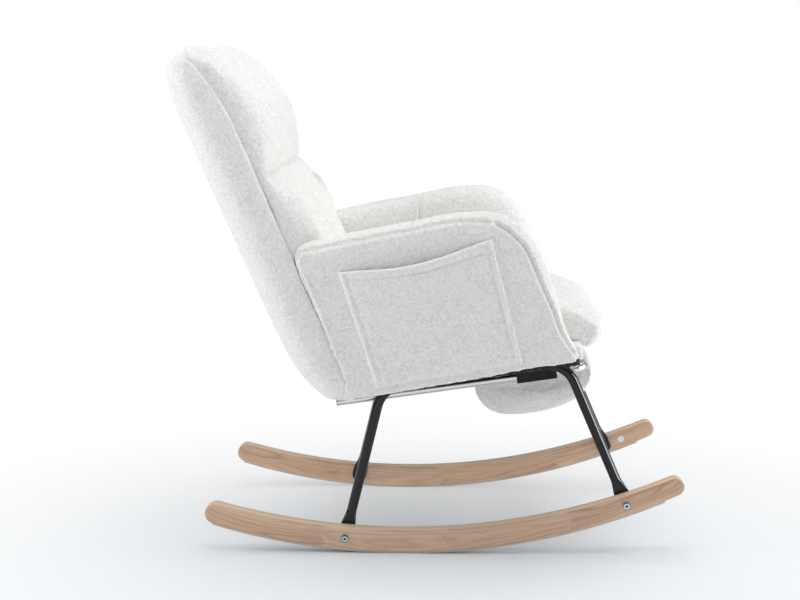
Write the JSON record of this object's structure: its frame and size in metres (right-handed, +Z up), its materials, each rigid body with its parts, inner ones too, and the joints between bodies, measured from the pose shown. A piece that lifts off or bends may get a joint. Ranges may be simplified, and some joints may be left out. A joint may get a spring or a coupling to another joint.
{
  "type": "rocking chair",
  "caption": "Upholstered rocking chair on curved wooden runners, with bent steel legs and a padded footrest that slides out from under the seat and turns over.",
  "frame": {"origin": "on the floor under the middle of the whole chair's length and width", "axes": "+Z up, -Y the way the chair faces, +X the sitter's left side"},
  "size_m": [0.636, 0.9575, 0.9513],
  "materials": {
    "white_pile": "curly short pile",
    "light_wood": "clear satin lacquer",
    "plywood": "raw plywood",
    "black_steel": "gloss powder coat",
    "black_cloth": "spunbonded cloth and woven strap",
    "zinc_steel": "bright zinc plate",
    "chrome_tube": "polished",
    "black_plastic": "fine matt",
    "strip_rubber": "matt",
    "white_plastic": "smooth"
  },
  "bodies": {
    "chair": {"runner_right": "light_wood", "runner_left": "light_wood", "runner_strip_right": "strip_rubber", "runner_strip_left": "strip_rubber", "runner_markers": "white_plastic", "leg_frame_right": "black_steel", "leg_frame_left": "black_steel", "foot_bolts": "zinc_steel", "foot_washers": "zinc_steel", "foot_nuts": "zinc_steel", "plate_screws": "zinc_steel", "seat_rail_right": "plywood", "seat_rail_left": "plywood", "seat_rail_front": "plywood", "seat_rail_rear": "plywood", "seat_webbing": "black_cloth", "dust_cover": "black_cloth", "seat_cushion": "white_pile", "arm_panel_right": "plywood", "arm_panel_left": "plywood", "arm_right": "white_pile", "arm_left": "white_pile", "pocket_right": "white_pile", "pocket_left": "white_pile", "arm_bolts": "zinc_steel", "back_stile_right": "plywood", "back_stile_left": "plywood", "back_rail_top": "plywood", "back_rail_bottom": "plywood", "back_webbing": "black_cloth", "back_shell": "white_pile", "back_cushion": "white_pile", "back_bolts": "zinc_steel", "slide_guide_right": "black_plastic", "slide_guide_left": "black_plastic", "guide_screws": "zinc_steel"},
    "footrest_frame": {"footrest_tube": "chrome_tube", "tube_plugs": "black_plastic", "stop_pins": "zinc_steel"},
    "footrest_leaf": {"footrest_board": "plywood", "footrest_pad": "white_pile", "hinge_clips": "zinc_steel", "clip_screws": "zinc_steel"}
  },
  "joints": [
    {"name": "footrest_slide", "type": "slide", "parent": "chair", "child": "footrest_frame", "axis": [0, -0.989, 0.1478], "range_m": [0, 0.3]},
    {"name": "footrest_flip", "type": "hinge", "parent": "footrest_frame", "child": "footrest_leaf", "pos_m": [0, -0.29302, 0.34947], "axis": [-1, 0, 0], "range_deg": [0, 180]}
  ],
  "couplings": [
    {"joint": "footrest_flip", "follows": "footrest_slide", "rad_per_m": 10.472}
  ]
}
